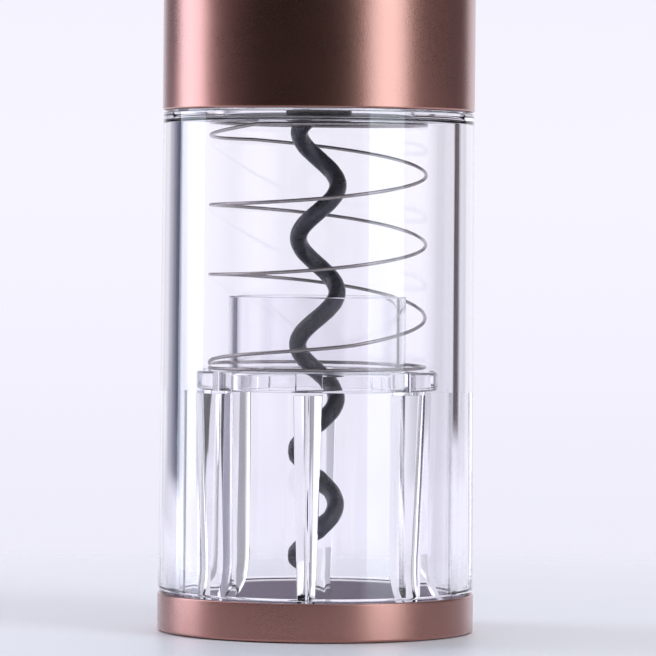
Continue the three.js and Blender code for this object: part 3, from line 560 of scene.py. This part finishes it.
# ---------------------------------------------------------------- clear barrel with its ribs
def rib_angle(v):
    """A point's angle from the nearest rib's middle, in radians."""
    spacing = TAU / RIB_COUNT
    return (math.atan2(v.co.y, v.co.x) + spacing / 2) % spacing - spacing / 2


def rib_middle(v):
    """The direction of the nearest rib's middle, in radians."""
    return math.atan2(v.co.y, v.co.x) - rib_angle(v)


def rib_nose_radius(height):
    """Radius of the rib's inner face, which is upright with a curved lead-in at its foot."""
    rise = max(0.0, height - RIB_FOOT)
    root = math.sqrt(RIB_LEAD_LINE ** 2 + 4 * RIB_LEAD_CURVE * rise)
    along = min(1.0, (root - RIB_LEAD_LINE) / (2 * RIB_LEAD_CURVE))
    return RIB_NOSE + (BARREL_BORE + RIB_ROOT - RIB_NOSE) * (1 - along) ** 2


def rib_width(height):
    """The rib is wider at its top than at its foot."""
    share = (height - RIB_FOOT) / (RIB_TOP - RIB_FOOT)
    return RIB_FOOT_WIDTH + (RIB_TOP_WIDTH - RIB_FOOT_WIDTH) * share


def turn_to_ribs(bm):
    """Turns a piece from the axes to the ribs' real directions."""
    bmesh.ops.rotate(bm, verts=bm.verts, cent=(0, 0, 0), matrix=Matrix.Rotation(RIB_TURN, 3, "Z"))


def is_under_rib(face):
    """Whether a face of the plain bore is one that a rib grows from."""
    slack = 0.01
    return all(
        abs(v.co.xy.length - BARREL_BORE) < slack
        and RIB_LEVELS[0] - slack < v.co.z < RIB_TOP + slack
        and abs(rib_angle(v)) < RIB_HALF_ANGLE + 1e-4
        for v in face.verts
    )


def narrow_root(v):
    """Draws a point at the rib's root in to the rib's width at that height."""
    narrowed = rib_angle(v) * (rib_width(v.co.z) / RIB_TOP_WIDTH - 1)
    v.co.xy = (Matrix.Rotation(narrowed, 2) @ v.co.xy)[:]


def shape_nose(v):
    """Moves a point of a grown face in to the rib's nose, which is flat with a bevel on each side."""
    middle = rib_middle(v)
    side = rib_angle(v) / RIB_HALF_ANGLE * rib_width(v.co.z) / 2
    bevel = max(0.0, abs(side) - RIB_NOSE_HALF) * RIB_BEVEL
    just_inside_bore = BARREL_BORE - 0.05
    out = min(rib_nose_radius(v.co.z) + bevel, just_inside_bore)
    v.co.x = out * math.cos(middle) - side * math.sin(middle)
    v.co.y = out * math.sin(middle) + side * math.cos(middle)


def grow_ribs(bm):
    """Extrudes the ribs out of the barrel's bore."""
    faces = [face for face in bm.faces if is_under_rib(face)]
    roots = {v for face in faces for v in face.verts}
    grown = bmesh.ops.extrude_face_region(bm, geom=faces)
    noses = [v for v in grown["geom"] if isinstance(v, bmesh.types.BMVert)]
    bmesh.ops.delete(bm, geom=faces, context="FACES_ONLY")
    for v in roots:
        if v.is_valid:
            narrow_root(v)
    for v in noses:
        shape_nose(v)


def make_clear_barrel():
    """The clear barrel: a spigot in the base ring, a ribbed wall, a shelf, and a neck in the body tube."""
    spigot = BASE_RADIUS - BASE_WALL - GAP
    foot_step = BASE_TOP + GAP
    neck = BODY_BORE - GAP
    neck_step = BODY_BOTTOM - GAP
    outline = [
        (BARREL_BORE, BARREL_FOOT, 0.2), (spigot, BARREL_FOOT, 0.2),
        (spigot, foot_step), (BARREL_LOW_RADIUS, foot_step, 0.5),
        (BARREL_HIGH_RADIUS, neck_step, 0.2), (neck, neck_step),
        (neck, BARREL_TOP, 0.2), (BARREL_BORE, BARREL_TOP, 0.2),
        (BARREL_BORE, SHELF_TOP, 0.2), (SHELF_RADIUS, SHELF_TOP, 0.35),
        (SHELF_RADIUS, SHELF_BOTTOM, 0.35), (BARREL_BORE, SHELF_BOTTOM, 0.6),
    ]
    outline += [(BARREL_BORE, level) for level in reversed(RIB_LEVELS)]
    bm = turned(outline)
    grow_ribs(bm)
    turn_to_ribs(bm)
    bmesh.ops.recalc_face_normals(bm, faces=bm.faces)
    piece("clear_barrel", bm, sharp=33)


# ---------------------------------------------------------------- cork sleeve
def notch_rim(v):
    """Moves a point of the flange's rim so that a notch is left where a rib passes."""
    radius = v.co.xy.length
    angle = rib_angle(v)
    middle = rib_middle(v)
    if abs(angle) < NOTCH_HALF_ANGLE:
        # The rim folds back to just under the notch's floor, where its points still lie apart.
        radius = FLANGE_NOTCH - 0.02 * (radius - FLANGE_NOTCH)
    if NOTCH_HALF_ANGLE - SHELL_STEP < abs(angle) < NOTCH_HALF_ANGLE + SHELL_STEP:
        angle = math.copysign(NOTCH_HALF_ANGLE, angle)
    v.co.x = radius * math.cos(middle + angle)
    v.co.y = radius * math.sin(middle + angle)


def make_cork_sleeve():
    """The clear tube that stands on the ribs' tops, with a notched flange that runs between them."""
    bm = turned([
        (SLEEVE_BORE, FLANGE_BOTTOM, 0.4),
        (FLANGE_NOTCH, FLANGE_BOTTOM), (FLANGE_RADIUS, FLANGE_BOTTOM, 0.5),
        (FLANGE_RADIUS, FLANGE_TOP, 0.5), (FLANGE_NOTCH, FLANGE_TOP),
        (SLEEVE_RADIUS, FLANGE_TOP, 0.3), (SLEEVE_RADIUS, SLEEVE_TOP, 0.2),
        (SLEEVE_BORE, SLEEVE_TOP, 0.2),
    ])
    for v in bm.verts:
        if v.co.xy.length > FLANGE_NOTCH - 0.05:
            notch_rim(v)
    turn_to_ribs(bm)
    piece("cork_sleeve", bm, sharp=40)


# ---------------------------------------------------------------- return spring
def spring_height(turn):
    """Height of the wire's middle: a flat turn on the flange, a kick, an even climb and a flat turn."""
    if turn < SPRING_END_TURNS:
        return SPRING_BOTTOM + SPRING_END_RISE * turn / SPRING_END_TURNS
    active = turn - SPRING_END_TURNS
    if active < SPRING_ACTIVE_TURNS:
        kick = SPRING_KICK * math.sin(math.pi / 2 * min(1.0, active / SPRING_KICK_TURNS))
        return SPRING_BOTTOM + SPRING_END_RISE + SPRING_PITCH * active + kick
    return SPRING_TOP - SPRING_END_RISE + SPRING_END_RISE * (active - SPRING_ACTIVE_TURNS) / SPRING_END_TURNS


def spring_lean(turn, angle):
    """How much higher the active turns stand at the back and on the left."""
    from_end = min(turn, SPRING_TURNS - turn) - SPRING_END_TURNS
    share = min(1.0, max(0.0, from_end / SPRING_LEAN_TURNS))
    return share * (SPRING_LEAN_BACK * math.sin(angle) - SPRING_LEAN_LEFT * math.cos(angle))


def make_return_spring():
    """The coil between the sleeve's flange and the barrel's shelf, built at rest; in the opener the rising
    sleeve squashes it.
    """
    count = round(SPRING_TURNS * SPRING_POINTS)
    points = []
    for i in range(count + 1):
        turn = SPRING_TURNS * i / count
        angle = TAU * (turn - SPRING_END_TURNS) + math.pi
        height = spring_height(turn) + spring_lean(turn, angle)
        points.append((SPRING_RADIUS * math.cos(angle), SPRING_RADIUS * math.sin(angle), height))
    mesh = wire_mesh(points, [SPRING_WIRE / 2] * len(points), sides=12)
    made = stand_in("return_spring", mesh, sharp=50)
    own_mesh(made)


# ---------------------------------------------------------------- worm and its chuck
def worm_wire(height):
    """Radius of the wire, which tapers to the point."""
    taper = min(1.0, (height - WORM_TIP) / WORM_TIP_LENGTH)
    return max(WORM_TIP_WIRE, WORM_WIRE / 2 * math.sin(taper * math.pi / 2) ** WORM_TIP_FULLNESS)


def worm_reach(height):
    """Distance of the wire's middle from the axis, which it joins under the chuck."""
    share = min(1.0, max(0.0, (height - WORM_EASE) / (WORM_CENTRED - WORM_EASE)))
    ease = share * share * (3 - 2 * share)
    return (WORM_RADIUS + (WORM_WIRE / 2 - worm_wire(height)) * WORM_TIP_REACH) * (1 - ease)


def make_worm():
    """The black wire helix, from its point to the shank in the chuck."""
    heights = [WORM_TIP + (WORM_TOP - WORM_TIP) * i / WORM_POINTS for i in range(WORM_POINTS + 1)]
    points = []
    for height in heights:
        angle = math.pi + TAU * (height - WORM_START) / WORM_PITCH
        reach = worm_reach(height)
        points.append((reach * math.cos(angle), reach * math.sin(angle), height))
    mesh = wire_mesh(points, [worm_wire(height) for height in heights], sides=24)
    stand_in("worm", mesh, sharp=60)


def make_worm_chuck():
    """The dark cup that holds the worm's shank and the gearbox's spindle."""
    bottom = low("worm_chuck").z
    top = high("worm_chuck").z
    bm = turned([
        (CHUCK_MOUTH, bottom, 0.25), (CHUCK_RADIUS, bottom, 0.4), (CHUCK_RADIUS, CHUCK_SHOULDER, 0.3),
        (CHUCK_NECK, CHUCK_SHOULDER), (CHUCK_NECK, top, 0.3), (SPINDLE_BORE, top, 0.2),
        (SPINDLE_BORE, SPINDLE_FLOOR), (SHANK_BORE, SPINDLE_FLOOR), (SHANK_BORE, WORM_CENTRED - GAP),
    ], steps=64)
    piece("worm_chuck", bm)


def make_bulkhead():
    """The dark plate that drops on to the barrel's shelf, with a lip round the chuck."""
    hub = SHELF_RADIUS - GAP
    hub_bottom = SHELF_TOP
    rim = BARREL_BORE - GAP
    rim_bottom = SHELF_TOP + GAP
    rim_top = rim_bottom + BULKHEAD_RIM
    top = high("bulkhead").z
    bm = turned([
        (BULKHEAD_HOLE, hub_bottom, 0.3), (hub, hub_bottom, 0.3), (hub, rim_bottom),
        (rim, rim_bottom, 0.2), (rim, rim_top, 0.2),
        (BULKHEAD_LIP, rim_top, 0.3), (BULKHEAD_LIP, top, 0.2), (BULKHEAD_HOLE, top, 0.2),
    ], steps=128)
    piece("bulkhead", bm)


# ---------------------------------------------------------------- body tube, cap, rocker
def make_body_sleeve():
    """The bronze body tube with its window for the bezel."""
    bm = turned([
        (BODY_BORE, BODY_BOTTOM, 0.25), (BODY_RADIUS, BODY_BOTTOM, 0.35),
        (BODY_RADIUS, BODY_TOP, 0.3), (BODY_BORE, BODY_TOP, 0.2),
    ])
    window = rounded_plate(BEZEL_WIDTH + WINDOW_PLAY, BEZEL_LENGTH + WINDOW_PLAY, WINDOW_DEPTH, BEZEL_CORNER)
    moved(window, y=WINDOW_BACK, z=ROCKER_HEIGHT)
    piece("body_sleeve", cut(bm, window))


def make_battery_cap():
    """The bronze cap, a cup with a rounded top."""
    bottom = low("battery_cap").z
    top = high("battery_cap").z
    inner = BODY_RADIUS - CAP_WALL
    ceiling = top - CAP_WALL
    bm = turned([
        (0, top), (BODY_RADIUS, top, CAP_CORNER), (BODY_RADIUS, bottom, 0.35),
        (inner, bottom, 0.2), (inner, ceiling, CAP_INNER_CORNER), (0, ceiling),
    ], closed=False)
    piece("battery_cap", bm)


def wrap_to_body(bm):
    """Bends a flat front plate round the body: each point goes back as the cylinder falls away."""
    for v in bm.verts:
        v.co.y += BODY_RADIUS - math.sqrt(BODY_RADIUS * BODY_RADIUS - v.co.x * v.co.x)


def make_rocker_bezel():
    """The dark frame round the rocker, bent to the body."""
    thickness = BEZEL_BACK - BEZEL_FRONT
    plate = rounded_plate(BEZEL_WIDTH, BEZEL_LENGTH, thickness, BEZEL_CORNER, edge=0.5)
    opening_width = ROCKER_WIDTH + ROCKER_SIDE_PLAY
    opening_length = ROCKER_LENGTH + ROCKER_END_PLAY
    beyond = 2  # the opening's tool stands out on both sides
    tool = rounded_plate(opening_width, opening_length, thickness + 2 * beyond, ROCKER_CORNER + GAP)
    bezel = cut(plate, moved(tool, y=beyond))
    moved(bezel, y=BEZEL_BACK - BEZEL_SINK, z=ROCKER_HEIGHT)
    for v in bezel.verts:
        v.co.y = max(v.co.y, BEZEL_FRONT)
    wrap_to_body(bezel)
    piece("rocker_bezel", bezel, sharp=30)


def make_rocker():
    """The rocking button, hollowed along its face so that each end stands up for a thumb."""
    button = rounded_plate(ROCKER_WIDTH, ROCKER_LENGTH, ROCKER_THICKNESS, ROCKER_CORNER, edge=0.6)
    long_edges = [e for e in button.edges if e.calc_length() > 4]
    bmesh.ops.subdivide_edges(button, edges=long_edges, cuts=ROCKER_CUTS, use_grid_fill=True)
    for v in button.verts:
        if v.co.y < ROCKER_FACE - ROCKER_THICKNESS:
            v.co.y += ROCKER_DISH * (1 - (2 * v.co.z / ROCKER_LENGTH) ** 2)
    moved(button, y=ROCKER_BACK, z=ROCKER_HEIGHT)
    piece("rocker", button, sharp=40)


# ---------------------------------------------------------------- studio, in metres
FLOOR_RADIUS = 0.6
FLOOR_DROP = 0.0001  # below the ring's lower face
FLOOR_FADE = (0.06, 0.22)  # distance over which the floor goes over into the backdrop

# Softboxes: bearing, width and radiance. A bearing is in degrees from +Y towards +X, here and below.
SOFTBOX_DISTANCE = 0.62
SOFTBOX_BOTTOM = -0.06
SOFTBOX_TOP = 0.8
SOFTBOXES = {
    "left_softbox": (-74, 0.34, (2.36, 2.65, 3.15)),
    "right_softbox": (129, 0.31, (2.48, 2.98, 3.15)),
}

# The room that the surfaces mirror, as (bearing, colour) stops. It is white behind the opener and dark in
# front of it, and has two dark panels, slate on the left and brown on the right.
WHITE = (0.95, 0.935, 1.0)
ROOM_WALLS = (
    (-180, 0.016), (-96, 0.02), (-88, 0.2), (-52, 0.2),
    (-47, (0.03, 0.035, 0.07)), (-40, (0.06, 0.065, 0.12)),
    (-35, (0.2, 0.2, 0.25)), (-24, (0.5, 0.49, 0.53)),
    (-21, WHITE), (37, WHITE),
    (40.5, (0.09, 0.06, 0.07)), (47, (0.06, 0.035, 0.04)),
    (54, 0.05), (108, 0.06), (142, 0.09), (166, 0.025), (180, 0.016),
)
BRIGHT_TABLE = (0.84, 0.83, 0.94)
ROOM_TABLE = ((-130, 0.1), (-100, BRIGHT_TABLE), (100, BRIGHT_TABLE), (130, 0.1))
ROOM_CEILING = (0.8, 0.8, 0.87, 1)
CEILING_EDGE = (0.55, 0.8)  # height of a direction over which the walls go over into the ceiling

# The light that comes through the clear plastic, as (bearing, share of the backdrop) stops, with the same
# panels.
BACKLIGHT = (
    (-180, 0.4), (-105, 0.4), (-95, 1.7), (-68, 1.7), (-58, 0.8), (-49, 0.8),
    (-46.5, (0.03, 0.035, 0.07)), (-40, (0.07, 0.075, 0.13)),
    (-35, (0.22, 0.22, 0.28)), (-25, 0.65),
    (-21, 1.0), (8, 1.0), (13, 0.83), (37, 0.85),
    (40.5, (0.08, 0.05, 0.06)), (46.5, (0.06, 0.035, 0.04)),
    (50, 0.8), (105, 0.6), (114, 1.5), (138, 1.5), (148, 0.4), (180, 0.4),
)
BACKLIGHT_STRENGTH = 1.09
BACKLIGHT_BELOW = (0.98, 0.98, 1, 1)
PANEL_FOOT = (-0.058, -0.053)  # height of a direction at which the panels end and the table starts
PANEL_FOOT_SLOPE = 0.0085  # by which that edge rises from left to right

# The plain backdrop, from the height of a direction below to the same height above.
BACKDROP_EDGE = 0.06
BACKDROP_PALE = (0.905, 0.89, 1.0)
BACKDROP = (
    (0.0, (0.86, 0.85, 0.955)), (0.3, BACKDROP_PALE), (0.6, (0.93, 0.915, 1.0)), (1.0, BACKDROP_PALE),
)

# The camera looks from far off and from just above the table's level, so the barrel is seen square on.
CAMERA_LENS = 256
CAMERA_EYE = Vector((1.7, -738, 63)) * MM
CAMERA_AIM = Vector((1.7, 0, 47.8)) * MM
CAMERA_ROLL = math.radians(0.45)


def make_floor():
    """A pale round table that fades out into the backdrop."""
    bm = bmesh.new()
    bmesh.ops.create_circle(bm, cap_ends=True, radius=FLOOR_RADIUS, segments=96)
    bmesh.ops.translate(bm, verts=bm.verts, vec=(0, 0, -FLOOR_DROP))
    floor = linked("studio_floor", as_mesh("studio_floor", bm))
    material, tree = new_material("pale_table")
    place = tree.add("ShaderNodeTexCoord").outputs["Object"]
    distance = tree.add("ShaderNodeVectorMath", {0: place}, operation="LENGTH").outputs["Value"]
    fade = tree.spread(distance, *FLOOR_FADE, 1.0, 0.0, interpolation_type="SMOOTHSTEP")
    surface = tree.add("ShaderNodeBsdfPrincipled", {
        "Base Color": (0.97, 0.96, 1.0, 1), "Roughness": 0.4, "Alpha": fade,
    })
    tree.add("ShaderNodeOutputMaterial", {"Surface": surface.outputs["BSDF"]})
    floor.data.materials.append(material)


def add_softbox(name, bearing, width, radiance):
    """A soft upright rectangle that faces the opener's axis."""
    height = SOFTBOX_TOP - SOFTBOX_BOTTOM
    middle = (SOFTBOX_TOP + SOFTBOX_BOTTOM) / 2
    strength = max(radiance)
    light = bpy.data.lights.new(name, "AREA")
    light.shape = "RECTANGLE"
    light.size = width
    light.size_y = height
    light.color = [value / strength for value in radiance]
    light.energy = strength * math.pi * width * height
    angle = math.radians(bearing)
    place = Vector((SOFTBOX_DISTANCE * math.sin(angle), SOFTBOX_DISTANCE * math.cos(angle), middle))
    holder = linked(name, light)
    holder.location = place
    holder.rotation_euler = (Vector((0, 0, middle)) - place).to_track_quat("-Z", "Y").to_euler()
    holder.visible_camera = False
    holder.visible_transmission = False


def round_about(tree, turn, stops):
    """Colours placed round the horizon at their bearings."""
    return tree.ramp(turn, *[(bearing / 360 + 0.5, colour) for bearing, colour in stops])


def make_world():
    """The plain backdrop for the camera, the room for surfaces and the backlight for clear plastic."""
    world = bpy.data.worlds.new("studio_room")
    world.use_nodes = True
    bpy.context.scene.world = world
    tree = Nodes(world.node_tree)
    direction = tree.add("ShaderNodeTexCoord").outputs["Generated"]
    across, along, up = tree.add("ShaderNodeSeparateXYZ", {"Vector": direction}).outputs
    turn = tree.math("ADD", tree.math("DIVIDE", tree.math("ARCTAN2", across, along), TAU), 0.5)
    panel_foot = tree.math("SUBTRACT", up, tree.math("MULTIPLY", across, PANEL_FOOT_SLOPE))
    below = tree.spread(panel_foot, *PANEL_FOOT, 1.0, 0.0)
    above = tree.spread(up, *CEILING_EDGE, 0.0, 1.0)

    lower_room = tree.mix(below, round_about(tree, turn, ROOM_WALLS), round_about(tree, turn, ROOM_TABLE))
    room_colour = tree.mix(above, lower_room, ROOM_CEILING)
    room = tree.add("ShaderNodeBackground", {"Color": room_colour, "Strength": 1.0})

    backdrop_colour = tree.ramp(tree.spread(up, -BACKDROP_EDGE, BACKDROP_EDGE, 0.0, 1.0), *BACKDROP)
    backdrop = tree.add("ShaderNodeBackground", {"Color": backdrop_colour, "Strength": 1.0})

    share = tree.mix(below, round_about(tree, turn, BACKLIGHT), BACKLIGHT_BELOW)
    seen_through = tree.mix(1.0, backdrop_colour, share, blend="MULTIPLY")
    backlight = tree.add("ShaderNodeBackground", {"Color": seen_through, "Strength": BACKLIGHT_STRENGTH})

    path = tree.add("ShaderNodeLightPath").outputs
    for_object = tree.add("ShaderNodeMixShader", {
        "Fac": path["Is Transmission Ray"], 1: room.outputs[0], 2: backlight.outputs[0],
    })
    chosen = tree.add("ShaderNodeMixShader", {
        "Fac": path["Is Camera Ray"], 1: for_object.outputs[0], 2: backdrop.outputs[0],
    })
    tree.add("ShaderNodeOutputWorld", {"Surface": chosen.outputs[0]})


def make_camera():
    """The camera in front of the opener's foot."""
    data = bpy.data.cameras.new("front_camera")
    data.sensor_width = 36
    data.lens = CAMERA_LENS
    data.clip_end = 20
    level = (CAMERA_AIM - CAMERA_EYE).to_track_quat("-Z", "Y").to_matrix().to_4x4()
    camera = linked("front_camera", data)
    camera.matrix_world = Matrix.Translation(CAMERA_EYE) @ level @ Matrix.Rotation(CAMERA_ROLL, 4, "Z")
    bpy.context.scene.camera = camera


def set_view():
    """Colours are shown as they are, and a ray may cross the barrel's walls and ribs many times."""
    scene = bpy.context.scene
    scene.view_settings.view_transform = "Standard"
    scene.cycles.max_bounces = 20
    scene.cycles.transmission_bounces = 18
    scene.cycles.glossy_bounces = 8
    scene.cycles.transparent_max_bounces = 16


# ---------------------------------------------------------------- assembly
make_camera()
make_base_ring()
make_clear_barrel()
make_cork_sleeve()
make_return_spring()
make_worm()
make_worm_chuck()
make_bulkhead()
make_body_sleeve()
make_battery_cap()
make_rocker_bezel()
make_rocker()
finish_cad_nodes()
make_floor()
for name, (bearing, width, radiance) in SOFTBOXES.items():
    add_softbox(name, bearing, width, radiance)
make_world()
set_view()
